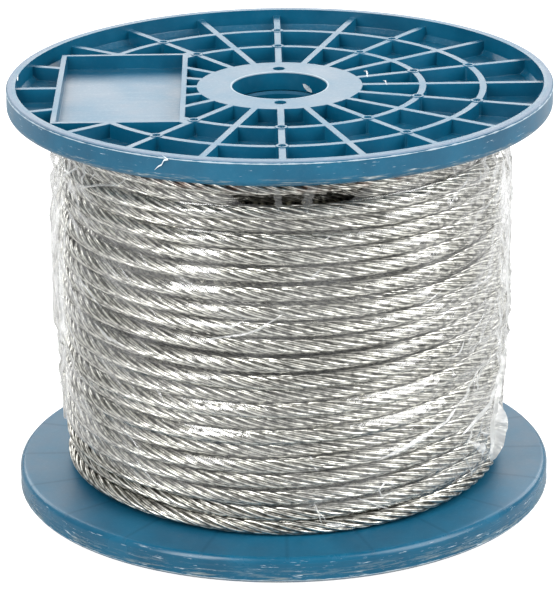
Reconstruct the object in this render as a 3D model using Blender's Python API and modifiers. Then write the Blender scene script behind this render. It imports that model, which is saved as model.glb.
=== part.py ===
"""A coil of wire rope wound on a two-flanged plastic spool and wrapped in clear film.

The spool stands on its lower flange. Z is the spool's axis, and the origin is where that axis meets
the surface it stands on. All sizes are in metres.
"""

import math

import bpy

# The two flanges are the same moulding. Each has a smooth face towards the rope, and ribs on the other.
FLANGE_DIAMETER = 0.220
SPOOL_HEIGHT = 0.172
RIM_HEIGHT = 0.0104
RIM_WALL = 0.0039
RIM_CHAMFER = 0.0006
RIM_ROUNDING = 0.0028
RIM_FOOT = 0.0020
PLATE_THICKNESS = 0.0020

# The ribs, the ring ribs, the posts and the hub disc all end at one level, under the rim's edge.
# The ring ribs share the space between the hub disc and the rim equally.
RIB_HEIGHT = 0.0057
RIB_THICKNESS = 0.0028
RIB_COUNT = 20
RING_THICKNESS = 0.0028
RING_COUNT = 2
POST_DIAMETER = 0.0054
RIBS_PER_POST = 2

# The label pocket is a rectangle of walls that fits between the hub disc and the rim.
POCKET_LENGTH = 0.0972
POCKET_WALL = 0.0022
POCKET_HUB_CLEARANCE = 0.0041
POCKET_RIM_CLEARANCE = 0.0038

# The hub disc has the spindle hole and two small blind holes beside it.
HUB_DISC_DIAMETER = 0.0668
FLANGE_BORE_DIAMETER = 0.0384
HUB_HOLE_DIAMETER = 0.0048
HUB_HOLE_DEPTH = 0.0050
HUB_HOLE_BORE_WALL = 0.0025
HUB_HOLE_COUNT = 2

# The barrel joins the flanges. The rope is wound on it, and its bore is a step narrower than theirs.
BARREL_DIAMETER = 0.070
BARREL_BORE_STEP = 0.0012
BARREL_BORE_CHAMFER = 0.0010

# The winding is one solid. Each turn has a rounded side, with a groove between it and the next.
WINDING_DEPTH_BELOW_EDGE = 0.020
TURN_PITCH = 0.0063
TURN_GROOVE_DEPTH = 0.0028

# The film is stretched round the winding, and leaves the lowest turns bare.
FILM_THICKNESS = 0.0005
FILM_EDGE_DRAW = 0.0006
BARE_TURNS = 2

# Pieces that touch keep this gap.
FIT_CLEARANCE = 0.0003
# A shape that cuts another runs this far past its faces.
CUT_OVERRUN = 0.0010

FLANGE_STEPS = 60
WINDING_STEPS = 40
TURN_SEGMENTS = 4
POST_SIDES = 8
HOLE_SIDES = 16
ROUNDING_STEPS = 4

PLASTIC_BLUE = (0.018, 0.105, 0.210, 1.0)
ROPE_GREY = (0.420, 0.420, 0.395, 1.0)
FILM_WHITE = (0.820, 0.830, 0.840, 0.25)

flange_radius = FLANGE_DIAMETER / 2
rim_inner_radius = flange_radius - RIM_WALL
rib_level = PLATE_THICKNESS + RIB_HEIGHT
hub_disc_radius = HUB_DISC_DIAMETER / 2
flange_bore_radius = FLANGE_BORE_DIAMETER / 2
barrel_radius = BARREL_DIAMETER / 2
winding_radius = flange_radius - WINDING_DEPTH_BELOW_EDGE
ring_spacing = (rim_inner_radius - hub_disc_radius) / (RING_COUNT + 1)
lower_face = RIM_HEIGHT
upper_face = SPOOL_HEIGHT - RIM_HEIGHT


def clear_scene():
    """Removes every object that is in the scene."""
    for item in list(bpy.data.objects):
        bpy.data.objects.remove(item, do_unlink=True)


def new_collection(name):
    """Makes a collection with this name and links it to the scene."""
    group = bpy.data.collections.new(name)
    bpy.context.scene.collection.children.link(group)
    return group


def plain_material(name, color, roughness, metallic):
    """Makes a Principled material from its colour, roughness and metallic value."""
    material = bpy.data.materials.new(name)
    material.use_nodes = True
    shader = material.node_tree.nodes["Principled BSDF"]
    shader.inputs["Base Color"].default_value = color
    shader.inputs["Alpha"].default_value = color[3]
    shader.inputs["Roughness"].default_value = roughness
    shader.inputs["Metallic"].default_value = metallic
    return material


def move_to(item, group):
    """Moves an object to one collection only."""
    for other in list(item.users_collection):
        other.objects.unlink(item)
    group.objects.link(item)


def as_guide(item, group):
    """Keeps an object that only shapes others, as a wire in the cutters' collection."""
    move_to(item, group)
    item.hide_render = True
    item.display_type = "WIRE"
    return item


def apply_modifiers(item):
    """Replaces an object's mesh with the one that its modifiers make."""
    graph = bpy.context.evaluated_depsgraph_get()
    old = item.data
    made = bpy.data.meshes.new_from_object(item.evaluated_get(graph))
    item.modifiers.clear()
    item.data = made
    made.name = item.name
    bpy.data.meshes.remove(old)


def turned(name, profile, steps, group, start=0.0):
    """Turns a closed profile of (radius, height) points about Z. Its outer side runs downwards."""
    mesh = bpy.data.meshes.new(name)
    count = len(profile)
    points = [(radius * math.cos(start), radius * math.sin(start), height) for radius, height in profile]
    edges = [(index, (index + 1) % count) for index in range(count)]
    mesh.from_pydata(points, edges, [])
    item = bpy.data.objects.new(name, mesh)
    group.objects.link(item)
    screw = item.modifiers.new("Turn", "SCREW")
    screw.axis = "Z"
    screw.angle = math.tau
    screw.steps = steps
    screw.render_steps = steps
    screw.use_merge_vertices = True
    screw.merge_threshold = 0.00001
    apply_modifiers(item)
    return item


def settle_levels(item, levels):
    """Puts an upright solid's place and turn into its mesh, with its ends exactly at two heights."""
    bpy.ops.object.transform_apply(location=True, rotation=True, scale=True)
    bottom, top = levels
    middle = (bottom + top) / 2
    for vertex in item.data.vertices:
        vertex.co.z = top if vertex.co.z > middle else bottom


def block(name, size, place, angle, levels, group):
    """Adds a box of this length and width, turned about Z, between two heights."""
    bottom, top = levels
    middle = (place[0], place[1], (bottom + top) / 2)
    bpy.ops.mesh.primitive_cube_add(size=1.0, location=middle, rotation=(0.0, 0.0, angle))
    item = bpy.context.object
    item.name = name
    item.scale = (size[0], size[1], top - bottom)
    settle_levels(item, levels)
    move_to(item, group)
    return item


def post(name, diameter, sides, place, angle, levels, group):
    """Adds an upright cylinder between two heights, with a flat side facing along the angle."""
    bottom, top = levels
    middle = (place[0], place[1], (bottom + top) / 2)
    turn = angle + math.pi / 2 + math.pi / sides
    bpy.ops.mesh.primitive_cylinder_add(
        vertices=sides, radius=diameter / 2, depth=top - bottom, location=middle, rotation=(0.0, 0.0, turn)
    )
    item = bpy.context.object
    item.name = name
    settle_levels(item, levels)
    move_to(item, group)
    return item


def cut(item, group):
    """Cuts a group of solids out of an object."""
    change = item.modifiers.new("Cut", "BOOLEAN")
    change.operation = "DIFFERENCE"
    change.operand_type = "COLLECTION"
    change.collection = group
    change.solver = "EXACT"
    item.modifiers.new("Flat faces", "TRIANGULATE")
    bpy.context.view_layer.update()
    apply_modifiers(item)


def on_circle(radius, angle):
    """Returns the place on a circle about Z at this angle."""
    return radius * math.cos(angle), radius * math.sin(angle)


def guide_group(name, guides):
    """Makes a collection for the solids that one Boolean reads."""
    group = bpy.data.collections.new(name)
    guides.children.link(group)
    return group


def ring_radius(index):
    """Returns the middle radius of a ring rib, or of the hub disc's or the rim's wall at either end."""
    return hub_disc_radius + ring_spacing * index


def flange_profile():
    """Returns the profile of a flange with its ribbed side still solid, its rope side at height 0."""
    profile = [(flange_radius - RIM_CHAMFER, RIM_HEIGHT), (flange_radius, RIM_HEIGHT - RIM_CHAMFER)]
    for step in range(ROUNDING_STEPS + 1):
        turn = math.pi / 2 * step / ROUNDING_STEPS
        radius = flange_radius - RIM_ROUNDING * (1 - math.cos(turn))
        profile.append((radius, RIM_ROUNDING * (1 - math.sin(turn))))
    profile.append((flange_bore_radius, 0.0))
    profile.append((flange_bore_radius, RIM_HEIGHT))
    return profile


def relief_profile():
    """Returns the profile of the space inside the rim, down to the plate, the ring ribs and the hub disc."""
    top = RIM_HEIGHT + CUT_OVERRUN
    profile = [(rim_inner_radius, top), (rim_inner_radius, PLATE_THICKNESS + RIM_FOOT)]
    profile.append((rim_inner_radius - RIM_FOOT, PLATE_THICKNESS))
    for index in range(RING_COUNT, 0, -1):
        outer = ring_radius(index) + RING_THICKNESS / 2
        inner = ring_radius(index) - RING_THICKNESS / 2
        profile += [(outer, PLATE_THICKNESS), (outer, rib_level), (inner, rib_level), (inner, PLATE_THICKNESS)]
    profile += [(hub_disc_radius, PLATE_THICKNESS), (hub_disc_radius, rib_level)]
    middle = flange_bore_radius - CUT_OVERRUN
    return profile + [(middle, rib_level), (middle, top)]


def add_ribs(levels, group):
    """Adds the straight ribs, each from the hub disc to the rim."""
    start = hub_disc_radius - CUT_OVERRUN
    end = rim_inner_radius + CUT_OVERRUN
    for index in range(RIB_COUNT):
        angle = math.tau * index / RIB_COUNT
        place = on_circle((start + end) / 2, angle)
        block("rib_%02d" % index, (end - start, RIB_THICKNESS), place, angle, levels, group)


def add_posts(levels, group):
    """Adds the round posts, where every second rib crosses a ring rib."""
    step = math.tau * RIBS_PER_POST / RIB_COUNT
    for index in range(RIB_COUNT // RIBS_PER_POST):
        angle = math.pi / 2 + step * index
        for ring in range(1, RING_COUNT + 1):
            place = on_circle(ring_radius(ring), angle)
            post("post_%d_%02d" % (ring, index), POST_DIAMETER, POST_SIDES, place, angle, levels, group)


def pocket_block(name, inset, levels, group):
    """Adds the block that fills the label pocket, drawn in from its outline by an inset."""
    near = hub_disc_radius + POCKET_HUB_CLEARANCE
    far = math.sqrt((rim_inner_radius - POCKET_RIM_CLEARANCE) ** 2 - (POCKET_LENGTH / 2) ** 2)
    size = (far - near - 2 * inset, POCKET_LENGTH - 2 * inset)
    return block(name, size, (-(near + far) / 2, 0.0), 0.0, levels, group)


def add_hub_holes(group):
    """Adds the cutters of the small holes beside the spindle hole."""
    levels = (rib_level - HUB_HOLE_DEPTH, rib_level + CUT_OVERRUN)
    radius = flange_bore_radius + HUB_HOLE_BORE_WALL + HUB_HOLE_DIAMETER / 2
    for index in range(HUB_HOLE_COUNT):
        angle = math.pi / 2 + math.tau * index / HUB_HOLE_COUNT
        place = on_circle(radius, angle)
        post("hub_hole_%d" % index, HUB_HOLE_DIAMETER, HOLE_SIDES, place, angle, levels, group)


def make_relief(name, guides):
    """Makes everything that is hollow on the ribbed side, as a group of solids."""
    solid = guide_group(name + "_ribs", guides)
    levels = (PLATE_THICKNESS - CUT_OVERRUN, rib_level)
    add_ribs(levels, solid)
    add_posts(levels, solid)
    pocket_block(name + "_pocket_walls", 0.0, levels, solid)

    relief = guide_group(name + "_relief", guides)
    half_step = math.pi / FLANGE_STEPS
    cut(turned(name + "_space", relief_profile(), FLANGE_STEPS, relief, start=half_step), solid)
    pocket_block(name + "_pocket_space", POCKET_WALL, (PLATE_THICKNESS, rib_level + CUT_OVERRUN), relief)
    add_hub_holes(relief)
    return relief


def make_flange(name, parts, guides):
    """Makes a flange with its ribs upwards and the rope's side at height 0."""
    flange = turned(name, flange_profile(), FLANGE_STEPS, parts)
    cut(flange, make_relief(name, guides))
    for group in guides.children:
        for item in list(group.objects):
            as_guide(item, group)
    return flange


def make_barrel(parts):
    """Makes the plain tube between the flanges, with the spindle's bore."""
    top = upper_face - FIT_CLEARANCE
    bottom = lower_face + FIT_CLEARANCE
    inner = flange_bore_radius - BARREL_BORE_STEP
    profile = [
        (barrel_radius, top),
        (barrel_radius, bottom),
        (inner + BARREL_BORE_CHAMFER, bottom),
        (inner, bottom + BARREL_BORE_CHAMFER),
        (inner, top - BARREL_BORE_CHAMFER),
        (inner + BARREL_BORE_CHAMFER, top),
    ]
    return turned("barrel", profile, WINDING_STEPS, parts)


def turn_layout():
    """Returns the height of the winding's top, its number of turns and their pitch."""
    top = upper_face - FIT_CLEARANCE
    height = top - lower_face - FIT_CLEARANCE
    turns = round(height / TURN_PITCH)
    return top, turns, height / turns


def make_winding(parts):
    """Makes the wound rope as one turned solid with a rounded side for each turn."""
    top, turns, pitch = turn_layout()
    bottom = top - pitch * turns
    inner = barrel_radius + FIT_CLEARANCE
    groove = winding_radius - TURN_GROOVE_DEPTH
    profile = []
    for turn in range(turns):
        for step in range(TURN_SEGMENTS):
            swing = math.pi * step / TURN_SEGMENTS
            drop = pitch * (turn + (1 - math.cos(swing)) / 2)
            profile.append((groove + TURN_GROOVE_DEPTH * math.sin(swing), top - drop))
    profile += [(groove, bottom), (inner, bottom), (inner, top)]
    return turned("rope_winding", profile, WINDING_STEPS, parts)


def make_film(parts):
    """Makes the film as a thin sleeve round the winding, drawn in a little at both edges."""
    top, turns, pitch = turn_layout()
    bottom = top - pitch * (turns - BARE_TURNS)
    inner = winding_radius + FIT_CLEARANCE
    outer = inner + FILM_THICKNESS
    profile = [
        (outer, top),
        (outer + FILM_EDGE_DRAW, top - pitch),
        (outer + FILM_EDGE_DRAW, bottom + pitch),
        (outer, bottom),
        (inner, bottom),
        (inner + FILM_EDGE_DRAW, bottom + pitch),
        (inner + FILM_EDGE_DRAW, top - pitch),
        (inner, top),
    ]
    return turned("stretch_film", profile, WINDING_STEPS, parts)


def shade(item, degrees):
    """Shades an object smooth, except along edges sharper than this angle."""
    item.data.shade_smooth()
    item.data.set_sharp_from_angle(angle=math.radians(degrees))


def main():
    """Builds the spool, the winding and the film."""
    clear_scene()
    parts = new_collection("wire_rope_spool")
    guides = new_collection("cutters")

    top_flange = make_flange("top_flange", parts, guides)
    bottom_flange = top_flange.copy()
    bottom_flange.data = top_flange.data.copy()
    bottom_flange.name = "bottom_flange"
    bottom_flange.data.name = "bottom_flange"
    parts.objects.link(bottom_flange)
    top_flange.location = (0.0, 0.0, upper_face)
    bottom_flange.location = (0.0, 0.0, lower_face)
    bottom_flange.rotation_euler = (math.pi, 0.0, 0.0)

    barrel = make_barrel(parts)
    winding = make_winding(parts)
    film = make_film(parts)

    looks = {
        top_flange: ("top_flange_plastic", PLASTIC_BLUE, 0.40, 0.0),
        bottom_flange: ("bottom_flange_plastic", PLASTIC_BLUE, 0.40, 0.0),
        barrel: ("barrel_plastic", PLASTIC_BLUE, 0.45, 0.0),
        winding: ("galvanised_rope", ROPE_GREY, 0.38, 1.0),
        film: ("clear_film", FILM_WHITE, 0.15, 0.0),
    }
    for item, look in looks.items():
        item.data.materials.clear()
        item.data.materials.append(plain_material(*look))
        shade(item, 35.0)


main()
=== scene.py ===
"""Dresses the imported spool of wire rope: its moulded flanges, the stranded rope and the stretch film.

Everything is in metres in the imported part's own frame. The spool's axis is Z, and it stands on Z = 0.
The azimuth of a place is 0 at the front, towards -Y, and grows towards +X.
"""

import logging
import math
from contextlib import contextmanager
from dataclasses import dataclass
from enum import Enum
from functools import partial
from typing import Callable, Iterator, Sequence

import bpy
import numpy as np
from mathutils import Matrix, Vector


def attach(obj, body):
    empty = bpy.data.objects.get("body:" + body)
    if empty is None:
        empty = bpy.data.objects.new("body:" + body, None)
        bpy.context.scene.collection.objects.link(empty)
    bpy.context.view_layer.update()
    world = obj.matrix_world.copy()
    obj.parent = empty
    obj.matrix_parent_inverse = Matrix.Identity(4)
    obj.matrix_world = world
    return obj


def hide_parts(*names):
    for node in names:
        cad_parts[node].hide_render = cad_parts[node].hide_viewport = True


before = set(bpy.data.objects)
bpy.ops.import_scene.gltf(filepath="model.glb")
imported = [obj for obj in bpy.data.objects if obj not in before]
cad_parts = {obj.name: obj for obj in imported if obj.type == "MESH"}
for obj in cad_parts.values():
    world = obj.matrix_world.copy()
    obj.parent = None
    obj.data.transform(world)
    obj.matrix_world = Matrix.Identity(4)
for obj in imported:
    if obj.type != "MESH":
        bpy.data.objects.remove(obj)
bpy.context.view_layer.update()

LOG = logging.getLogger("wire_rope_spool")
MM = 0.001
ROOT = "root"
TURN = 360.0
WHITE = (1.0, 1.0, 1.0, 1.0)

SPOOL_HEIGHT = 172.0
RIM_HEIGHT = 10.4
FLANGE_RADIUS = 110.0
BORE_RADIUS = 19.2
RIBS = 20
STRANDS = 6
UNDER_RADIUS = 83.0

Pair = tuple[float, float]
Place = tuple[float, float, float]
Color = tuple[float, float, float, float]
Profile = Sequence[Pair]
Item = bpy.types.Object
Socket = bpy.types.NodeSocket
AddNode = Callable[..., Socket]
Layout = Callable[[np.ndarray, np.ndarray], np.ndarray]


class Slot(Enum):
    """The record's material slots."""

    PLASTIC = "spool_plastic"
    WIRE = "galvanised_wire"
    FILM = "clear_film"


class Flange(Enum):
    """Which end of the spool a flange closes."""

    TOP = "top_flange"
    BOTTOM = "bottom_flange"


# Small helpers


def linear(code: str) -> Color:
    """Turns an sRGB hex colour to linear.

    Args:
        code: A colour such as "#336699".

    Returns:
        The linear red, green, blue and an alpha of 1.
    """
    parts = [int(code[i : i + 2], 16) / 255 for i in (1, 3, 5)]
    red, green, blue = (p / 12.92 if p <= 0.04045 else ((p + 0.055) / 1.055) ** 2.4 for p in parts)
    return red, green, blue, 1.0


def add_node(tree: bpy.types.NodeTree, kind: str, *values: object, out: int | str = 0,
             **settings: object) -> Socket | None:
    """Adds a node with its settings, socket values and links.

    Args:
        tree: The node tree.
        kind: The node's type name without "ShaderNode".
        *values: For each input in turn, a value or the output socket that feeds it, or else one dict of
            them by the input's name or index.
        out: The name or index of the output that is wanted.
        **settings: The node's own properties.

    Returns:
        That output's socket, or None for a node that has no outputs.
    """
    node = tree.nodes.new("ShaderNode" + kind)
    for name, value in settings.items():
        setattr(node, name, value)
    by_key = values[0] if values and isinstance(values[0], dict) else dict(enumerate(values))
    for key, value in by_key.items():
        if isinstance(value, Socket):
            tree.links.new(value, node.inputs[key])
        else:
            node.inputs[key].default_value = value
    return node.outputs[out] if node.outputs else None


def new_material(name: str) -> tuple[bpy.types.Material, AddNode]:
    """Makes a material with an empty node tree.

    Args:
        name: The material's name.

    Returns:
        The material, and add_node for its tree.
    """
    material = bpy.data.materials.new(name)
    material.use_nodes = True
    material.node_tree.nodes.clear()
    return material, partial(add_node, material.node_tree)


def deselect_all() -> None:
    """Leaves edit mode and deselects every object."""
    if bpy.context.object and bpy.context.object.mode != "OBJECT":
        bpy.ops.object.mode_set(mode="OBJECT")
    bpy.ops.object.select_all(action="DESELECT")


def make_active(item: Item) -> None:
    """Selects one object only, and makes it the active one.

    Args:
        item: The object.
    """
    deselect_all()
    item.select_set(True)
    bpy.context.view_layer.objects.active = item


@contextmanager
def edit_mode(item: Item) -> Iterator[None]:
    """Opens an object in edit mode with its whole mesh selected, and closes it at the end.

    Args:
        item: The object.

    Returns:
        The context for a with statement.
    """
    make_active(item)
    bpy.ops.object.mode_set(mode="EDIT")
    bpy.ops.mesh.select_all(action="SELECT")
    yield
    bpy.ops.object.mode_set(mode="OBJECT")


def apply_modifier(item: Item, kind: str, **settings: object) -> None:
    """Adds a modifier to an object and applies it.

    Args:
        item: The object.
        kind: The modifier's type.
        **settings: The modifier's properties.
    """
    change = item.modifiers.new(kind, kind)
    for name, value in settings.items():
        setattr(change, name, value)
    make_active(item)
    bpy.ops.object.modifier_apply(modifier=change.name)


def turned(name: str, profile: Profile, steps: int) -> Item:
    """Spins a closed profile about Z in edit mode.

    Args:
        name: The object's name.
        profile: Radius and height of each corner, in millimetres.
        steps: The number of steps round the axis.

    Returns:
        The closed solid.
    """
    deselect_all()
    bpy.ops.mesh.primitive_circle_add(vertices=len(profile), radius=MM)
    item = bpy.context.object
    item.name = name
    for vertex, (radius, height) in zip(item.data.vertices, profile):
        vertex.co = (radius * MM, 0.0, height * MM)
    with edit_mode(item):
        bpy.ops.mesh.spin(steps=steps, angle=math.tau, center=(0, 0, 0), axis=(0, 0, 1))
        bpy.ops.mesh.select_all(action="SELECT")
        bpy.ops.mesh.remove_doubles(threshold=0.001 * MM)
        bpy.ops.mesh.normals_make_consistent(inside=False)
    return item


def upright(name: str, place: Pair, angle: float, levels: Pair, size: Pair | None = None, radius: float = 0.0,
            sides: int = 12) -> Item:
    """Adds an upright box or cylinder between two heights, with its place in its mesh.

    Args:
        name: The object's name.
        place: The middle's X and Y in millimetres.
        angle: The turn about Z in radians.
        levels: Its lowest and highest Z in millimetres.
        size: The box's length and width in millimetres, or None for a cylinder.
        radius: The cylinder's radius in millimetres.
        sides: The cylinder's number of sides.

    Returns:
        The solid.
    """
    bottom, top = levels
    seat = {"location": (place[0] * MM, place[1] * MM, (bottom + top) / 2 * MM), "rotation": (0, 0, angle)}
    deselect_all()
    if size:
        bpy.ops.mesh.primitive_cube_add(size=1.0, **seat)
        bpy.context.object.scale = (size[0] * MM, size[1] * MM, (top - bottom) * MM)
    else:
        bpy.ops.mesh.primitive_cylinder_add(vertices=sides, radius=radius * MM, depth=(top - bottom) * MM,
                                            **seat)
    item = bpy.context.object
    item.name = name
    make_active(item)
    bpy.ops.object.transform_apply(location=True, rotation=True, scale=True)
    return item


def cut(item: Item, tools: list[Item]) -> None:
    """Cuts solids out of an object, and removes them.

    Args:
        item: The object that is cut.
        tools: The solids.
    """
    group = bpy.data.collections.new("cutters")
    for tool in tools:
        group.objects.link(tool)
    apply_modifier(item, "BOOLEAN", operation="DIFFERENCE", operand_type="COLLECTION", collection=group,
                   solver="EXACT")
    for tool in tools:
        bpy.data.objects.remove(tool)
    bpy.data.collections.remove(group)
    with edit_mode(item):
        bpy.ops.mesh.remove_doubles(threshold=0.02 * MM)
        bpy.ops.mesh.dissolve_limited(angle_limit=math.radians(0.3))


def shaped_grid(name: str, columns: int, rows: int, lay_out: Layout, closed_rows: bool) -> Item:
    """Adds a grid and lays it on a surface.

    Args:
        name: The object's name.
        columns: Faces along U.
        rows: Faces along V.
        lay_out: Turns arrays of U and V, from 0 to 1, to an array of places in metres.
        closed_rows: True where V = 0 and V = 1 meet and both ends of U get a face.

    Returns:
        The object, with the grid's own UV map.
    """
    deselect_all()
    bpy.ops.mesh.primitive_grid_add(x_subdivisions=columns, y_subdivisions=rows, size=1.0, calc_uvs=True)
    item = bpy.context.object
    item.name = name
    mesh = item.data
    flat = np.empty(len(mesh.vertices) * 3)
    mesh.vertices.foreach_get("co", flat)
    flat = flat.reshape(-1, 3)
    mesh.vertices.foreach_set("co", lay_out(flat[:, 0] + 0.5, flat[:, 1] + 0.5).ravel())
    mesh.update()
    with edit_mode(item):
        bpy.ops.mesh.remove_doubles(threshold=0.002 * MM)
        if closed_rows:
            bpy.ops.mesh.select_all(action="SELECT")
            bpy.ops.mesh.fill_holes(sides=0)
            bpy.ops.mesh.select_all(action="SELECT")
            bpy.ops.mesh.normals_make_consistent(inside=False)
    return item


def on_cylinder(azimuth: np.ndarray, height: np.ndarray, radius: np.ndarray) -> np.ndarray:
    """Turns azimuths in degrees, heights and radii in millimetres to places in metres."""
    angle = np.radians(azimuth) - math.pi / 2
    return np.stack([radius * np.cos(angle), radius * np.sin(angle), height], axis=1) * MM


def pointed(share: np.ndarray) -> np.ndarray:
    """Returns the width of a ribbon along its length: 1 over most of it, and 0 at both ends."""
    return 1 - np.abs(2 * share - 1) ** 3


def smooth(item: Item, degrees: float) -> Item:
    """Shades an object smooth, except along edges sharper than an angle.

    Args:
        item: The object.
        degrees: The angle.

    Returns:
        The same object.
    """
    make_active(item)
    bpy.ops.object.shade_smooth_by_angle(angle=math.radians(degrees))
    return item


def dress(item: Item, material: bpy.types.Material, slot: Slot, *replaced: str) -> None:
    """Gives a piece its material and its body, and hides the CAD nodes that it stands for.

    Args:
        item: The piece.
        material: Its only material.
        slot: Not used.
        *replaced: The names of the CAD nodes that it replaces.
    """
    item.data.materials.clear()
    item.data.materials.append(material)
    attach(item, ROOT)
    if replaced:
        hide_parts(*replaced)
    LOG.info("%s: %d faces", item.name, len(item.data.polygons))


# Finishes


@dataclass(frozen=True)
class MouldedPolystyrene:
    """Injection-moulded polystyrene, dyed through.

    The mould leaves a satin skin with faint clouding from the flow. Handling scuffs it with chalky
    lines, and its thin parting line turns pale where it is bent or scraped. A field that ends in _mm is
    the size of a pattern, and one that ends in _depth is a distance below the flange's open edge.
    """

    body: str = "#014A66"
    flow: str = "#025876"
    chalk: str = "#C9D5DC"
    worn: str = "#8F99A8"
    dust: str = "#A9ABA0"
    # sunk is the painted shade of the sink marks: darker, for the dimmer reflection in their dips.
    sunk: str = "#01293D"
    roughness: float = 0.34
    scuffed_roughness: float = 0.75
    veil: float = 0.14
    flow_mm: float = 26.0
    grain_mm: float = 0.9
    chip_mm: float = 5.0
    scuff_mm: float = 9.0
    scuff_stretch: float = 14.0
    top_scuff_least: float = 0.655
    bottom_scuff_least: float = 0.63
    speck_mm: float = 1.4
    dirt_mm: float = 16.0
    scratch_mm: float = 22.0
    scratch_stretch: float = 40.0
    line_depth: float = 0.95
    disc_depth: float = 2.7
    pocket_depth: float = 8.2
    pocket_start: float = 38.0

    def make(self, name: str, end: Flange | None) -> bpy.types.Material:
        """Makes the material for one flange, or for the barrel.

        Args:
            name: The material's name.
            end: The flange that wears it, or None for the barrel, which has no rim to scuff.

        Returns:
            The material.
        """
        material, add = new_material(name)
        place = add("TexCoord", out="Object")
        flow = add("TexNoise", {"Vector": place, "Scale": 1 / (self.flow_mm * MM), "Detail": 3.0,
                                "Roughness": 0.6})
        tone = add("MapRange", flow, 0.35, 0.65)
        color = add("Mix", {0: tone, 6: linear(self.body), 7: linear(self.flow)}, out=2, data_type="RGBA")
        grain = add("TexNoise", {"Vector": place, "Scale": 1 / (self.grain_mm * MM), "Detail": 2.0})
        rough = add("MapRange", flow, 0.3, 0.7, self.roughness - 0.05, self.roughness + 0.07)
        if end is not None:
            upward = add("SeparateXYZ", add("NewGeometry", out="Normal"), out=2)
            if end is Flange.BOTTOM:
                # The mould is polished where it rounds the edge, and duller on its broad flat face.
                flat = add("MapRange", upward, 0.90, 0.99, -0.18, 0.05)
                rough = add("Math", rough, flat, operation="ADD")
            for mask, shade in self.wear(add, place, upward, end):
                color = add("Mix", {0: mask, 6: color, 7: linear(shade)}, out=2, data_type="RGBA")
                rough = add("Mix", {0: mask, 2: rough, 3: self.scuffed_roughness})
        bump = add("Bump", {"Height": grain, "Strength": 0.12, "Distance": 0.1 * MM})
        shader = add("BsdfPrincipled", {"Base Color": color, "Roughness": rough, "IOR": 1.45, "Normal": bump})
        add("OutputMaterial", shader)
        return material

    def wear(self, add: AddNode, place: Socket, upward: Socket, end: Flange) -> list[tuple[Socket, str]]:
        """Adds the masks of the worn rim, of dust, and of the chalky scuffs and parting line.

        Args:
            add: Adds a node to the material.
            place: Object coordinates.
            upward: How far each face lies upwards, from -1 to 1.
            end: The flange, which says where its open edge lies.

        Returns:
            Each mask's socket, from 0 to 1, with the colour that it lays on.
        """
        x, y, z = add("SeparateXYZ", place).node.outputs
        edge = SPOOL_HEIGHT * MM if end is Flange.TOP else 0.0
        depth = add("Math", add("Math", z, edge, operation="SUBTRACT"), operation="ABSOLUTE")
        radius = add("VectorMath", add("CombineXYZ", x, y), out=1, operation="LENGTH")
        outer = add("MapRange", radius, (FLANGE_RADIUS - 1.2) * MM, (FLANGE_RADIUS - 0.2) * MM)
        # The outer half of the rim's open edge is rubbed to a greyish lilac.
        rubbed = add("MapRange", radius, (FLANGE_RADIUS - 2.4) * MM, (FLANGE_RADIUS - 1.9) * MM, 0.0, 0.55)
        skin = add("Math", depth, 0.5 * MM, operation="LESS_THAN")
        rubbed = add("Math", rubbed, skin, operation="MULTIPLY")
        # The flash of the parting line comes and goes.
        chips = add("TexNoise", {"Vector": place, "Scale": 1 / (self.chip_mm * MM), "Detail": 4.0})
        off_line = add("Math", depth, self.line_depth * MM, operation="SUBTRACT")
        reach = add("MapRange", chips, 0.35, 0.65, 0.05 * MM, 0.30 * MM)
        line = add("Math", add("Math", off_line, operation="ABSOLUTE"), reach, operation="LESS_THAN")
        flash = add("Math", add("Math", line, outer, operation="MULTIPLY"), 0.6, operation="MULTIPLY")
        # Scuffs run round the rim, and are many times as long as they are wide.
        long_way = add("Mapping", {0: place, 3: (1.0, 1.0, self.scuff_stretch)})
        streak = add("TexNoise", {"Vector": long_way, "Scale": 1 / (self.scuff_mm * MM), "Detail": 3.0,
                                  "Roughness": 0.7})
        least = self.bottom_scuff_least if end is Flange.BOTTOM else self.top_scuff_least
        marks = add("Math", add("MapRange", streak, least, least + 0.07), outer, operation="MULTIPLY")
        marks = add("Math", flash, marks, operation="MAXIMUM")
        # Dust speckles the faces that lie upwards, in spots of about a millimetre.
        specks = add("TexNoise", {"Vector": place, "Scale": 1 / (self.speck_mm * MM), "Detail": 4.0,
                                  "Roughness": 0.7})
        lie = add("MapRange", upward, 0.4, 1.0, 0.12, 1.0)
        veil = add("Math", add("MapRange", specks, 0.50, 0.80, 0.0, self.veil), lie, operation="MULTIPLY")
        masks = [(veil, self.chalk), (rubbed, self.worn)]
        if end is Flange.BOTTOM:
            # The floor's dust clings in patches to the lowest 6 mm of the rim.
            low = add("MapRange", depth, 2.0 * MM, 7.0 * MM, 1.0, 0.0)
            patches = add("TexNoise", {"Vector": long_way, "Scale": 1 / (self.dirt_mm * MM), "Detail": 6.0,
                                       "Roughness": 0.75})
            patches = add("MapRange", patches, 0.50, 0.66, 0.0, 0.6)
            masks.append((add("Math", low, patches, operation="MULTIPLY"), self.dust))
            # Painted shade: the sink marks over the ribs are painted darker, for the reflection that their
            # dips lose.
            sunk = self.sink_marks_painted_dark(add, x, y, radius)
            masks.append((add("Math", sunk, lie, operation="MULTIPLY"), self.sunk))
        else:
            # The rim's lower edge is scuffed in short streaks where it knocks against other spools.
            low = add("Math", add("MapRange", depth, 6.6 * MM, 8.2 * MM), outer, operation="MULTIPLY")
            knocks = add("MapRange", streak, 0.54, 0.64, 0.0, 0.55)
            masks.append((add("Math", low, knocks, operation="MULTIPLY"), self.dust))
            masks.append((self.pocket_scratches(add, place, x, depth), self.chalk))
            masks.append((self.bore_lip(add, radius, depth), self.chalk))
        return masks + [(marks, self.chalk)]

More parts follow.
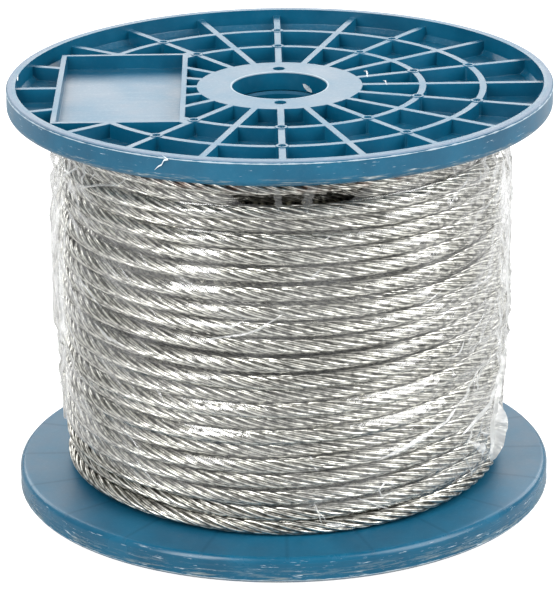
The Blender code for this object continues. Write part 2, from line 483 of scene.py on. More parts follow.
    def bore_lip(self, add: AddNode, radius: Socket, depth: Socket) -> Socket:
        """Adds the mask of the bore's lip, rubbed pale over 0.7 mm where spindles slide in.

        Args:
            add: Adds a node to the material.
            radius: The distance from the spool's axis.
            depth: The distance below the open edge.

        Returns:
            The mask's socket, from 0 to 1.
        """
        near = add("MapRange", radius, (BORE_RADIUS + 0.5) * MM, (BORE_RADIUS + 0.9) * MM, 0.55, 0.0)
        high = add("Math", depth, (self.disc_depth + 0.5) * MM, operation="LESS_THAN")
        return add("Math", near, high, operation="MULTIPLY")

    def sink_marks_painted_dark(self, add: AddNode, x: Socket, y: Socket, radius: Socket) -> Socket:
        """Adds the mask of the faint radial sink marks where the plastic shrank over each rib. Their darker
        colour is painted shade, for the dimmer reflection in their shallow dips.

        Args:
            add: Adds a node to the material.
            x: Object coordinates' X.
            y: Object coordinates' Y.
            radius: The distance from the spool's axis.

        Returns:
            The mask's socket, from 0 to 1.
        """
        near = add("Math", add("Math", y, x, operation="ARCTAN2"), math.pi / RIBS, operation="PINGPONG")
        gap = add("Math", near, radius, operation="MULTIPLY")
        return add("MapRange", gap, 0.2 * MM, 1.2 * MM, 0.2, 0.0)

    def pocket_scratches(self, add: AddNode, place: Socket, x: Socket, depth: Socket) -> Socket:
        """Adds the mask of the fine scratches in the label pocket, which run across the spool.

        Args:
            add: Adds a node to the material.
            place: Object coordinates.
            x: Object coordinates' X.
            depth: The distance below the open edge.

        Returns:
            The mask's socket, from 0 to 1.
        """
        drawn = add("Mapping", {0: place, 2: (0.0, 0.0, 0.06), 3: (1.0, self.scratch_stretch, 1.0)})
        lines = add("TexNoise", {"Vector": drawn, "Scale": 1 / (self.scratch_mm * MM), "Detail": 3.0})
        on_floor = add("Math", depth, self.pocket_depth * MM, operation="GREATER_THAN")
        left = add("Math", x, -self.pocket_start * MM, operation="LESS_THAN")
        here = add("Math", on_floor, left, operation="MULTIPLY")
        return add("Math", here, add("MapRange", lines, 0.56, 0.72, 0.0, 0.1), operation="MULTIPLY")


@dataclass(frozen=True)
class GalvanisedWire:
    """Drawn steel wire with a bright zinc coat, laid six round one in each strand.

    Its colour paints the crown of each wire as a short bright dash along its strand, a painted highlight, and
    paints the hollows between wires and strands dark, a painted shade. The real wires are 0.67 mm thick, and
    too fine to show in the render, so they are drawn 1 mm apart. The topmost turns, under the upper flange,
    are browner and darker in patches.
    """

    zinc: str = "#EBE9E0"
    # hollow is the colour of the painted shade between wires and strands, and zinc that of their lit crowns.
    hollow: str = "#24231F"
    top_tint: str = "#6E4534"
    top_tint_from: float = 152.0
    top_tint_fade: float = 2.5
    top_tint_mm: float = 7.0
    roughness: float = 0.33
    wires_across: float = 2.5
    wire_step_mm: float = 9.0
    strand_step_mm: float = 6.83
    turn_step_mm: float = 3.1

    def rope_way(self, add: AddNode, length_mm: float) -> tuple[Socket, Socket]:
        """Reads the way along the rope and the strand from the rope's UV map.

        Args:
            add: Adds a node to the material.
            length_mm: The length of the piece, which U covers. V goes once round the rope.

        Returns:
            Millimetres along the rope, and the number of strands passed on the way round it.
        """
        u, v, _ = add("SeparateXYZ", add("TexCoord", out="UV")).node.outputs
        return add("Math", u, length_mm, operation="MULTIPLY"), add("Math", v, STRANDS, operation="MULTIPLY")

    def layer_way(self, add: AddNode, place: Socket) -> tuple[Socket, Socket]:
        """Reads the same two from Object coordinates, for the layer that shows in the gaps only.

        A lay of 41 mm with six strands brings a new strand every 6.83 mm.

        Args:
            add: Adds a node to the material.
            place: Object coordinates.

        Returns:
            Millimetres along the rope, and the number of strands passed.
        """
        x, y, z = add("SeparateXYZ", place).node.outputs
        along = add("Math", add("Math", y, x, operation="ARCTAN2"), UNDER_RADIUS, operation="MULTIPLY")
        climb = add("Math", z, 1 / (self.turn_step_mm * MM), operation="MULTIPLY")
        return along, add("Math", along, 1 / self.strand_step_mm, climb, operation="MULTIPLY_ADD")

    def roundness(self, add: AddNode, share: Socket) -> Socket:
        """Adds the roundness of a wire or a strand across its width.

        Args:
            add: Adds a node to the material.
            share: The share of the width, from 0 to 1.

        Returns:
            A socket that rises from 0 at both edges to 1 midway.
        """
        side = add("Math", share, 2.0, -1.0, operation="MULTIPLY_ADD")
        return add("Math", 1.0, add("Math", side, side, operation="MULTIPLY"), operation="SUBTRACT")

    def make(self, name: str, length_mm: float | None) -> bpy.types.Material:
        """Makes the material.

        Args:
            name: The material's name.
            length_mm: The length that U covers, or None for the layer under the outer one.

        Returns:
            The material.
        """
        material, add = new_material(name)
        place = add("TexCoord", out="Object")
        along, strand = self.layer_way(add, place) if length_mm is None else self.rope_way(add, length_mm)
        across = add("Math", strand, operation="FRACT")
        number = add("Math", strand, operation="FLOOR")
        steps = add("Math", along, -1 / self.wire_step_mm, operation="MULTIPLY")
        wire = add("Math", across, self.wires_across, steps, operation="MULTIPLY_ADD")
        crown = self.roundness(add, add("Math", wire, operation="FRACT"))
        narrow = add("Math", crown, 1.1, operation="POWER")
        # Each wire's painted highlight has its own strength, which changes over a few millimetres of its
        # length.
        which = add("Math", wire, operation="FLOOR")
        slow = add("Math", along, 0.22, operation="MULTIPLY")
        luck = add("TexNoise", {"Vector": add("CombineXYZ", slow, which, number), "Scale": 1.7,
                                "Detail": 1.0})
        painted_sparkle = add("MapRange", luck, 0.32, 0.66, 0.35, 1.6)
        # Painted light and shade: the colour is lit on the crown of each wire and strand, and painted dark in
        # the hollows between them.
        painted_strand_shade = add("Math", self.roundness(add, across), 0.45, operation="POWER")
        # Painted highlight along each wire's crown.
        show = add("Math", narrow, 0.9, 0.1, operation="MULTIPLY_ADD")
        lit = add("Math", show, painted_strand_shade, operation="MULTIPLY")
        bright = add("Math", lit, painted_sparkle, operation="MULTIPLY", use_clamp=True)
        color = add("Mix", {0: bright, 6: linear(self.hollow), 7: linear(self.zinc)}, out=2, data_type="RGBA")
        # The topmost turns, under the upper flange, are browner and darker in patches.
        height = add("SeparateXYZ", place, out=2)
        high = add("MapRange", height, self.top_tint_from * MM, (self.top_tint_from + self.top_tint_fade) * MM)
        spread = add("TexNoise", {"Vector": place, "Scale": 1 / (self.top_tint_mm * MM), "Detail": 3.0})
        top_tinted = add("Math", high, add("MapRange", spread, 0.46, 0.62, 0.0, 0.6), operation="MULTIPLY")
        color = add("Mix", {0: top_tinted, 6: color, 7: linear(self.top_tint)}, out=2, data_type="RGBA")
        rough = add("MapRange", luck, 0.3, 0.7, self.roughness + 0.12, self.roughness - 0.06)
        bump = add("Bump", {"Height": crown, "Strength": 1.0, "Distance": 0.22 * MM})
        shader = add("BsdfPrincipled", {"Base Color": color, "Metallic": 1.0, "Roughness": rough,
                                        "Normal": bump})
        add("OutputMaterial", shader)
        return material


@dataclass(frozen=True)
class StretchFilm:
    """Blown polyethylene stretch film in a few layers.

    It is clear and shiny, with a milky veil that thickens where it folds and where it is seen edge on.
    """

    veil: str = "#D2D4D4"
    tint: Color = (0.97, 0.975, 0.975, 1.0)
    haze: float = 0.03
    edge_haze: float = 0.42
    crease_haze: float = 0.5
    crease_long_mm: float = 24.0
    crease_wide_mm: float = 1.7
    crease_lean: float = 32.0
    patch_mm: float = 26.0
    gloss_roughness: float = 0.12
    shine: float = 2.2

    def streaks(self, add: AddNode, flat: Socket, lean: float) -> Socket:
        """Adds creases that lean one way.

        Args:
            add: Adds a node to the material.
            flat: The place on the flat film in millimetres.
            lean: The creases' angle to the film's length in degrees.

        Returns:
            The creases' strength, from 0 to 1.
        """
        turned_way = add("Mapping", {0: flat, 2: (0.0, 0.0, math.radians(lean))})
        drawn = add("Mapping", {0: turned_way, 3: (1 / self.crease_long_mm, 1 / self.crease_wide_mm, 1.0)})
        field = add("TexNoise", {"Vector": drawn, "Scale": 1.0, "Detail": 2.0, "Distortion": 0.4})
        return add("MapRange", field, 0.60, 0.72)

    def make(self, name: str, flat_mm: Pair) -> bpy.types.Material:
        """Makes the material. It reads the film's UV map.

        Args:
            name: The material's name.
            flat_mm: The size of the flat film that the UV map covers, in millimetres.

        Returns:
            The material.
        """
        material, add = new_material(name)
        uv = add("TexCoord", out="UV")
        flat = add("VectorMath", uv, (*flat_mm, 1.0), operation="MULTIPLY")
        # The film is drawn tight from below on both sides, so its creases rise away from the front.
        half = add("SeparateXYZ", uv)
        right = add("MapRange", half, 0.47, 0.53, interpolation_type="SMOOTHSTEP")
        creases = add("Mix", {0: right, 2: self.streaks(add, flat, self.crease_lean),
                              3: self.streaks(add, flat, -self.crease_lean)})
        patch = add("TexNoise", {"Vector": flat, "Scale": 1 / self.patch_mm, "Detail": 2.0})
        # Seen from the front the creases are few, and they crowd towards both sides.
        turned_off = add("Math", add("Math", half, -0.5, operation="ADD"), operation="ABSOLUTE")
        crowd = add("MapRange", turned_off, 0.08, 0.20, 0.0, 0.16)
        where = add("MapRange", add("Math", patch, crowd, operation="ADD"), 0.52, 0.68)
        creases = add("Math", creases, where, operation="MULTIPLY")
        bump = add("Bump", {"Height": creases, "Strength": 0.5, "Distance": 0.5 * MM})
        edge_on = add("Math", add("LayerWeight", 0.5, out="Facing"), 4.0, operation="POWER")
        base = add("MapRange", patch, 0.3, 0.7, self.haze * 0.5, self.haze * 1.5)
        more = add("Math", creases, self.crease_haze, base, operation="MULTIPLY_ADD")
        cover = add("Math", edge_on, self.edge_haze, more, operation="MULTIPLY_ADD", use_clamp=True)
        # Film as thin as this lets the light on its way to the rope and back through.
        direct = add("LightPath", out="Is Camera Ray")
        cover = add("Math", cover, direct, operation="MULTIPLY")
        clear = add("BsdfTransparent", self.tint)
        milky = add("BsdfDiffuse", {0: linear(self.veil), "Normal": bump})
        body = add("MixShader", cover, clear, milky)
        gloss = add("BsdfGlossy", {0: WHITE, "Roughness": self.gloss_roughness, "Normal": bump})
        # Each face of each of the film's layers adds its own reflection.
        share = add("Math", add("Fresnel", 1.5, bump), self.shine, operation="MULTIPLY", use_clamp=True)
        # Where the film is pulled flat it shines, and where it is rumpled it is duller.
        flatness = add("MapRange", patch, 0.42, 0.56, 0.45, 1.0)
        seen = add("Math", direct, flatness, operation="MULTIPLY")
        add("OutputMaterial", add("MixShader", add("Math", share, seen, operation="MULTIPLY"), body, gloss))
        return material


# Sub-assemblies


@dataclass
class FlangeMoulding:
    """One flange as it leaves the mould, in millimetres. Its rope side is at height 0, its ribs are up.

    The open edge is given as each corner's distance in from the rim's side and down from the edge, with
    the step of the parting line in it.
    """

    rim_wall: float = 3.9
    rounding: float = 2.8
    taper: float = 0.05
    open_edge: tuple[Pair, ...] = ((0.6, 0.0), (0.45, 0.6), (0.0, 0.8), (0.0, 1.1), (0.12, 1.4))
    foot: float = 2.0
    floor: float = 2.0
    rib_top: float = 7.7
    rib: float = 2.8
    rings: int = 2
    post_radius: float = 2.6
    post_rise: float = 0.3
    pin_radius: float = 1.5
    pin_depth: float = 0.8
    hub_radius: float = 33.4
    pocket_length: float = 97.2
    pocket_wall: float = 2.2
    pocket_hub_gap: float = 4.1
    pocket_rim_gap: float = 3.8
    web_length: float = 6.0
    hub_hole_radius: float = 2.4
    hub_hole_place: float = 24.1
    hub_hole_depth: float = 5.0
    edge_radius: float = 0.2
    overlap: float = 1.0
    post_sides: int = 12
    hole_sides: int = 20
    rounding_steps: int = 6
    hollow_steps: int = 200
    rim_steps: int = 240
    curl: tuple[Pair, ...] = ((-24.1, 172.1), (-22.8, 170.9), (-23.7, 170.5), (-24.2, 168.6), (-25.0, 167.7),
                              (-25.9, 165.9))
    curl_thickness: float = 0.36
    curl_sides: int = 6
    curl_steps: int = 24

    @property
    def inner(self) -> float:
        """The rim's inner radius."""
        return FLANGE_RADIUS - self.rim_wall

    @property
    def pocket_edge(self) -> float:
        """The X of the label pocket's side next to the hub."""
        return -(self.hub_radius + self.pocket_hub_gap)

    def ring_radius(self, index: int) -> float:
        """The middle radius of a ring rib, counted from 1 at the hub."""
        return self.hub_radius + (self.inner - self.hub_radius) * index / (self.rings + 1)

    def outline(self) -> Profile:
        """Draws the flange with its ribbed side still solid.

        Returns:
            The profile, from the open edge down and inwards.
        """
        points = [(FLANGE_RADIUS - inset, RIM_HEIGHT - drop) for inset, drop in self.open_edge]
        for step in range(self.rounding_steps + 1):
            turn = math.pi / 2 * step / self.rounding_steps
            points.append((FLANGE_RADIUS - self.taper - self.rounding * (1 - math.cos(turn)),
                           self.rounding * (1 - math.sin(turn))))
        return points + [(BORE_RADIUS, 0.0), (BORE_RADIUS, RIM_HEIGHT)]

    def hollow(self) -> Profile:
        """Draws the space inside the rim, over the plate, the rings and the hub disc.

        Returns:
            The profile, from the rim inwards.
        """
        high = RIM_HEIGHT + self.overlap
        points = [(self.inner, high), (self.inner, self.floor + self.foot),
                  (self.inner - self.foot, self.floor)]
        for index in range(self.rings, 0, -1):
            outer = self.ring_radius(index) + self.rib / 2
            points += [(outer, self.floor), (outer, self.rib_top)]
            points += [(outer - self.rib, self.rib_top), (outer - self.rib, self.floor)]
        points += [(self.hub_radius, self.floor), (self.hub_radius, self.rib_top)]
        return points + [(BORE_RADIUS - self.overlap, self.rib_top), (BORE_RADIUS - self.overlap, high)]

    def posts(self) -> list[Place]:
        """Finds the places of the round posts, on every second rib and both rings.

        Returns:
            X, Y and the direction of each post.
        """
        places = []
        for index in range(RIBS // 2):
            angle = math.pi / 2 + math.tau * index / (RIBS // 2)
            for ring in range(1, self.rings + 1):
                radius = self.ring_radius(ring)
                places.append((radius * math.cos(angle), radius * math.sin(angle), angle))
        return places

    def pocket(self, inset: float, levels: Pair) -> Item:
        """Adds the block that fills the label pocket.

        Args:
            inset: How far it is drawn in from the pocket's outside, in millimetres.
            levels: Its lowest and highest Z in millimetres.

        Returns:
            The block.
        """
        near = -self.pocket_edge
        far = math.sqrt((self.inner - self.pocket_rim_gap) ** 2 - (self.pocket_length / 2) ** 2)
        size = (far - near - 2 * inset, self.pocket_length - 2 * inset)
        return upright("pocket", (-(near + far) / 2, 0.0), 0.0, levels, size=size)

    def corner_webs(self, levels: Pair) -> list[Item]:
        """Adds the webs that join the pocket's corners near the hub to the ribs beside them.

        Args:
            levels: Their lowest and highest Z in millimetres.

        Returns:
            The two webs.
        """
        angle = math.tau * round(RIBS * 0.35) / RIBS
        corner = Vector((self.pocket_edge, self.pocket_length / 2))
        along = Vector((math.cos(angle), math.sin(angle)))
        across = Vector((-along.y, along.x))
        # Each web runs about 1.5 mm into the pocket's wall and its rib, so that the three are one.
        reach = corner.dot(across) + 1.6
        middle = along * (corner.dot(along) - 1.5) + across * (reach / 2)
        size = (self.web_length, reach)
        return [upright("web", (middle.x, side * middle.y), side * angle, levels, size=size)
                for side in (1, -1)]

    def mould(self) -> Item:
        """Models the flange: the hollow between ribs is cut from a turned disc, then edges are rounded.

        Returns:
            The flange, with its rope side at height 0.
        """
        rib_levels = (self.floor - self.overlap, self.rib_top)
        start, end = self.hub_radius - self.overlap, self.inner + self.overlap
        solids = []
        for index in range(RIBS):
            angle = math.tau * index / RIBS
            middle = ((start + end) / 2 * math.cos(angle), (start + end) / 2 * math.sin(angle))
            solids.append(upright("rib", middle, angle, rib_levels, size=(end - start, self.rib)))
        post_levels = (self.floor - self.overlap, self.rib_top + self.post_rise)
        for x, y, angle in self.posts():
            solids.append(upright("post", (x, y), angle + math.pi / self.post_sides, post_levels,
                                  radius=self.post_radius, sides=self.post_sides))
        solids.append(self.pocket(0.0, rib_levels))
        solids += self.corner_webs(rib_levels)
        hollow = turned("hollow", self.hollow(), self.hollow_steps)
        cut(hollow, solids)

        tools = [hollow, self.pocket(self.pocket_wall, (self.floor, RIM_HEIGHT + self.overlap))]
        hole_levels = (self.rib_top - self.hub_hole_depth, self.rib_top + self.overlap)
        for side in (1, -1):
            tools.append(upright("hub_hole", (0.0, side * self.hub_hole_place), 0.0, hole_levels,
                                 radius=self.hub_hole_radius, sides=self.hole_sides))
        pin_levels = (self.rib_top + self.post_rise - self.pin_depth, self.rib_top + self.overlap)
        for x, y, angle in self.posts():
            if x > self.pocket_edge or abs(y) > self.pocket_length / 2:
                tools.append(upright("pin", (x, y), angle, pin_levels, radius=self.pin_radius,
                                     sides=self.post_sides))
        flange = turned("flange", self.outline(), self.rim_steps)
        cut(flange, tools)
        self.split_in_sectors(flange)
        apply_modifier(flange, "BEVEL", width=self.edge_radius * MM, segments=2, limit_method="ANGLE",
                       angle_limit=math.radians(30), use_clamp_overlap=False)
        apply_modifier(flange, "TRIANGULATE")
        smooth(flange, 40)
        apply_modifier(flange, "WEIGHTED_NORMAL", weight=100, keep_sharp=True)
        return flange

    def split_in_sectors(self, flange: Item) -> None:
        """Splits the wide flat faces midway between ribs, so that each is small enough to round cleanly.

        Args:
            flange: The flange.
        """
        with edit_mode(flange):
            for index in range(RIBS // 2):
                angle = math.tau * (index + 0.5) / RIBS
                bpy.ops.mesh.select_all(action="SELECT")
                bpy.ops.mesh.bisect(plane_co=(0, 0, 0), plane_no=(-math.sin(angle), math.cos(angle), 0),
                                    threshold=0.002 * MM)

    def flash_curl(self) -> Item:
        """Models the sliver of flash that curls off the top rim, as a thin rod pointed at both ends.

        Returns:
            The sliver.
        """
        stops = np.array(self.curl)
        share = np.linspace(0, 1, len(stops))

        def lay_out(u: np.ndarray, v: np.ndarray) -> np.ndarray:
            """Places the grid's points along and around the sliver.

            Args:
                u: The share of its length.
                v: The share of the way round it.

            Returns:
                The places in metres.
            """
            thick = self.curl_thickness * np.maximum(pointed(u), 0.15)
            turn = math.tau * np.rint(v * self.curl_sides) / self.curl_sides
            azimuth, height = np.interp(u, share, stops[:, 0]), np.interp(u, share, stops[:, 1])
            out = FLANGE_RADIUS + 0.15 + 0.5 * np.sin(math.pi * u) + 0.6 * thick * np.cos(turn)
            return on_cylinder(azimuth, height + thick * np.sin(turn), out)

        sliver = shaped_grid("rim_flash_curl", self.curl_steps, self.curl_sides, lay_out, closed_rows=True)
        return smooth(sliver, 50)

    def build(self) -> None:
        """Makes both flanges, the lower one turned over, the curl of flash and the barrel's finish."""
        finish = MouldedPolystyrene()
        dull = MouldedPolystyrene(roughness=0.42, veil=0.03)
        scraped = MouldedPolystyrene(body="#D2DEE6", flow="#E6EDF1")
        upper = self.mould()
        upper.name = "top_flange_moulding"
        lower = upper.copy()
        lower.data = upper.data.copy()
        lower.name = "bottom_flange_moulding"
        bpy.context.scene.collection.objects.link(lower)
        upper.data.transform(Matrix.Translation((0, 0, (SPOOL_HEIGHT - RIM_HEIGHT) * MM)))
        lower.data.transform(Matrix.Translation((0, 0, RIM_HEIGHT * MM)) @ Matrix.Rotation(math.pi, 4, "X"))
        for item, look, end in ((upper, finish, Flange.TOP), (lower, dull, Flange.BOTTOM)):
            name = "moulded_polystyrene_" + end.name.lower()
            dress(item, look.make(name, end), Slot.PLASTIC, end.value)
        dress(self.flash_curl(), scraped.make("moulded_polystyrene_flash", None), Slot.PLASTIC)
        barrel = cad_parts["barrel"]
        barrel.data.materials.clear()
        barrel.data.materials.append(finish.make("moulded_polystyrene_barrel", None))
        LOG.info("barrel: kept, with its moulded finish")


@dataclass
class RopeWinding:
    """The outer layer of rope, turn by turn, in millimetres.

    A 6 mm rope of six strands with a right-hand lay is wound in 24 turns. The heights are those of the
    gaps between turns, from the lower flange to the upper, at three azimuths. Between the last and the
    first of these, round the back, each turn climbs to the next one's place. One turn is sunk at the
    front, and the layer starts and ends with a dive under the next turn.
    """

    rope_radius: float = 3.0
    strand_circle: float = 2.0
    strand_radius: float = 1.06
    lay: float = 41.0
    winding_radius: float = 90.0
    points_per_strand: int = 6
    step_degrees: float = 1.125
    turns_per_piece: int = 6
    deepest_nest: float = 2.2
    ease_degrees: float = 12.0
    dive: float = 4.5
    dive_degrees: float = 22.0
    side_gap: float = 0.1
    top_gap: float = 0.8
    sunk_turn: int = 21
    sunk_middle: float = 3.0
    sunk_half: float = 13.0
    sunk_ease: float = 8.0
    sunk_depth: float = 9.0
    sunk_trough: Pair = (144.0, 154.5)
    trough_depth: float = 9.5
    inner_radius: float = 38.0
    ridge: float = 2.6
    layer_steps: int = 144
    touch: float = 0.7
    azimuths: Place = (-45.0, 0.0, 45.0)
    left: tuple[float, ...] = (
        12.0, 18.9, 23.8, 29.9, 36.0, 42.3, 48.5, 54.2, 59.6, 65.0, 71.2, 78.8, 86.4, 94.6, 100.6, 106.8,
        114.4, 122.8, 130.2, 134.4, 140.0, 145.6, 150.9, 156.2, 161.6)
    front: tuple[float, ...] = (
        10.4, 16.1, 22.3, 29.8, 36.8, 42.9, 48.9, 54.5, 60.4, 65.5, 71.4, 78.3, 85.8, 93.6, 100.0, 107.4,
        115.5, 122.9, 129.7, 136.0, 142.2, 146.8, 151.9, 157.0, 161.6)
    right: tuple[float, ...] = (
        10.6, 18.4, 26.3, 32.6, 40.0, 45.6, 52.3, 57.8, 62.8, 68.4, 73.6, 80.0, 87.6, 93.5, 99.4, 107.1,
        116.4, 122.8, 128.9, 135.3, 141.6, 148.2, 153.1, 157.4, 161.6)

    @property
    def turns(self) -> int:
        """The number of turns in the layer."""
        return len(self.front) - 1

    @property
    def ends(self) -> Pair:
        """The way in degrees at which the layer starts and ends."""
        return -110.0, TURN * (self.turns - 1) + 95.0

    def height(self, way: np.ndarray) -> np.ndarray:
        """Returns the height of the rope's middle along its way.

        Args:
            way: Degrees wound, 0 at the front of the lowest turn.

        Returns:
            The heights in millimetres.
        """
        stops, heights = [], []
        for turn in range(self.turns):
            for azimuth, row in zip(self.azimuths, (self.left, self.front, self.right)):
                stops.append(TURN * turn + azimuth)
                heights.append((row[turn] + row[turn + 1]) / 2)
        spread = np.linspace(-self.ease_degrees, self.ease_degrees, 7)
        middle = np.mean([np.interp(way + shift, stops, heights) for shift in spread], axis=0)
        lowest = RIM_HEIGHT + self.rope_radius + self.side_gap
        return np.clip(middle, lowest, SPOOL_HEIGHT - lowest - self.top_gap)

    def axis_radius(self, way: np.ndarray) -> np.ndarray:
        """Returns how far the rope's middle is from the spool's axis, with one turn sunk at the front."""
        off_sunk = np.abs(way - TURN * self.sunk_turn - self.sunk_middle) - self.sunk_half
        return self.laid_radius(way) - self.sunk_depth * np.clip(1 - off_sunk / self.sunk_ease, 0.0, 1.0) ** 2

    def laid_radius(self, way: np.ndarray) -> np.ndarray:
        """Returns how far the rope's middle would be from the axis if no turn were sunk.

        Where turns lie closer than the rope is thick, every second one sinks between its neighbours.

        Args:
            way: Degrees wound.

        Returns:
            The radii in millimetres.
        """
        here, width = self.height(way), 2 * self.rope_radius
        above = self.height(way + TURN) - here
        below = here - self.height(way - TURN)
        # Beyond the layer's first and last turn there is no neighbour, and no step in height.
        closest = np.minimum(np.where(above > 0.5, above, width), np.where(below > 0.5, below, width))
        nest = np.sqrt(np.maximum(0.0, width**2 - np.minimum(closest, width) ** 2))
        odd = 0.5 - 0.5 * np.cos(math.pi * way / TURN)
        radius = self.winding_radius - self.rope_radius - np.minimum(nest, self.deepest_nest) * odd
        start, end = self.ends
        from_end = np.minimum(way - start, end - way)
        dive = self.dive * np.clip(1 - from_end / self.dive_degrees, 0.0, 1.0) ** 2
        return radius - dive + 0.12 * np.sin(np.radians(way * 2.3)) + 0.1 * np.sin(np.radians(way * 5.1 + 40))

    def twist(self, way: np.ndarray) -> np.ndarray:
        """Returns how far the strands have turned round the rope, in radians, at each degree wound."""
        arc = np.radians(way) * (self.winding_radius - self.rope_radius)
        return -arc / self.lay * math.tau + 0.25 * np.sin(np.radians(way * 0.83))

    def strand_reach(self, angle: np.ndarray) -> np.ndarray:
        """Returns the rope's radius at each angle round it.

        Args:
            angle: The angle in radians, counted from a hollow between two strands.

        Returns:
            The radii in millimetres.
        """
        off = (angle * STRANDS / math.tau % 1.0 - 0.5) * math.tau / STRANDS
        reach = np.maximum(self.strand_radius**2 - (self.strand_circle * np.sin(off)) ** 2, 0.03)
        return self.strand_circle * np.cos(off) + np.sqrt(reach)

    def skin(self, azimuth: np.ndarray, height: np.ndarray, bridge: np.ndarray, soften: float) -> np.ndarray:
        """Returns the radius that a tight film takes over the winding.

        Args:
            azimuth: Degrees from the front.
            height: Heights in millimetres.
            bridge: How deep the film dips between two turns, in millimetres.
            soften: The share of the hollows between strands that the film follows.

        Returns:
            The radii in millimetres.
        """
        first = self.azimuths[0]
        stops, column = np.unique(np.round(azimuth, 4), return_inverse=True)
        way = ((stops - first) % TURN + first)[None, :] + TURN * np.arange(self.turns)[:, None]
        middle, axis, turned_by = (values[:, column] for values in
                                   (self.height(way), self.laid_radius(way), self.twist(way)))
        crest = axis + self.rope_radius
        best = np.where(height < middle[0], crest[0], crest[-1]) - bridge
        for turn in range(self.turns - 1):
            share = (height - middle[turn]) / (middle[turn + 1] - middle[turn])
            between = (share >= 0) & (share <= 1)
            dip = 0.1 + bridge * (0.5 - 0.5 * np.cos(math.tau * share))
            eased = share * share * (3 - 2 * share)
            best = np.where(between, crest[turn] + (crest[turn + 1] - crest[turn]) * eased - dip, best)
        for turn in range(self.turns):
            off = height - middle[turn]
            angle = np.arcsin(np.clip(off / self.rope_radius, -1, 1)) - turned_by[turn]
            reach = self.rope_radius - soften * (self.rope_radius - self.strand_reach(angle))
            out = axis[turn] + np.sqrt(np.maximum(reach**2 - off**2, 0))
            best = np.where(np.abs(off) < self.touch * self.rope_radius, np.maximum(best, out), best)
        return best

    def rope_piece(self, name: str, start: float, end: float) -> Item:
        """Models a length of the wound rope from a grid.

        Args:
            name: The object's name.
            start: Degrees wound at its start.
            end: Degrees wound at its end.

        Returns:
            The closed piece.
        """
        around = STRANDS * self.points_per_strand
        steps = round((end - start) / self.step_degrees)

        def lay_out(u: np.ndarray, v: np.ndarray) -> np.ndarray:
            """Places the grid's points on the rope's surface.

            Args:
                u: The share of the piece's length.
                v: The share of the way round the rope.

            Returns:
                The places in metres.
            """
            way = start + (end - start) * u
            seat = math.tau * np.rint(v * around) / around
            turn = seat + self.twist(way)
            reach = self.strand_reach(seat)
            return on_cylinder(way, self.height(way) + reach * np.sin(turn),
                               self.axis_radius(way) + reach * np.cos(turn))

        return smooth(shaped_grid(name, steps, around, lay_out, closed_rows=True), 50)

    def lower_layer(self) -> Item:
        """Models the layer under the outer one, as rounded ridges that show through the gaps.

        Returns:
            The layer.
        """
        low, high = RIM_HEIGHT + 0.4, SPOOL_HEIGHT - RIM_HEIGHT - 0.4
        points = [(self.inner_radius, high), (UNDER_RADIUS - 1.0, high)]
        ridges = np.linspace(high, low, self.turns + 2)
        for upper, lower in zip(ridges[:-1], ridges[1:]):
            sunk = self.sunk_trough[0] < (upper + lower) / 2 < self.sunk_trough[1]
            base = UNDER_RADIUS - 2.0 - (self.trough_depth if sunk else 0.0)
            for share in (0.15, 0.35, 0.65, 0.85):
                bulge = math.sqrt(1 - (2 * share - 1) ** 2)
                points.append((base + self.ridge * bulge, upper + (lower - upper) * share))
            points.append((base, lower))
        points.append((self.inner_radius, low))
        return smooth(turned("rope_lower_layer", points, self.layer_steps), 50)

    def build(self) -> None:
        """Makes the rope of the outer layer in pieces, and the layer under it."""
        start, end = self.ends
        cuts = [TURN * turn - 180.0 for turn in range(self.turns_per_piece, self.turns, self.turns_per_piece)]
        finish = GalvanisedWire()
        for number, (first, last) in enumerate(zip([start, *cuts], [*cuts, end]), 1):
            piece = self.rope_piece("rope_layer_%d" % number, first, last)
            length = math.radians(last - first) * (self.winding_radius - self.rope_radius)
            dress(piece, finish.make("galvanised_wire_%d" % number, length), Slot.WIRE, "rope_winding")
        dress(self.lower_layer(), finish.make("galvanised_wire_lower", None), Slot.WIRE, "rope_winding")


@dataclass(frozen=True)
class Fold:
    """A crease that stands up from the film, in millimetres. Its path is in azimuths and heights.

    A flap widens all the way from its pointed start to a cut end. A high fold, of over 1 mm, is stiff.
    """

    path: tuple[Pair, ...]
    width: float = 1.2
    rise: float = 0.5
    flap: bool = False

    @property
    def stiff(self) -> bool:
        """Whether it stands straight, and bridges the dips between turns."""
        return self.rise > 1.0


@dataclass(frozen=True)
class Scrap:
    """A torn thread or flake of film, as places in millimetres, and its width."""

    path: tuple[Place, ...]
    width: float = 0.7


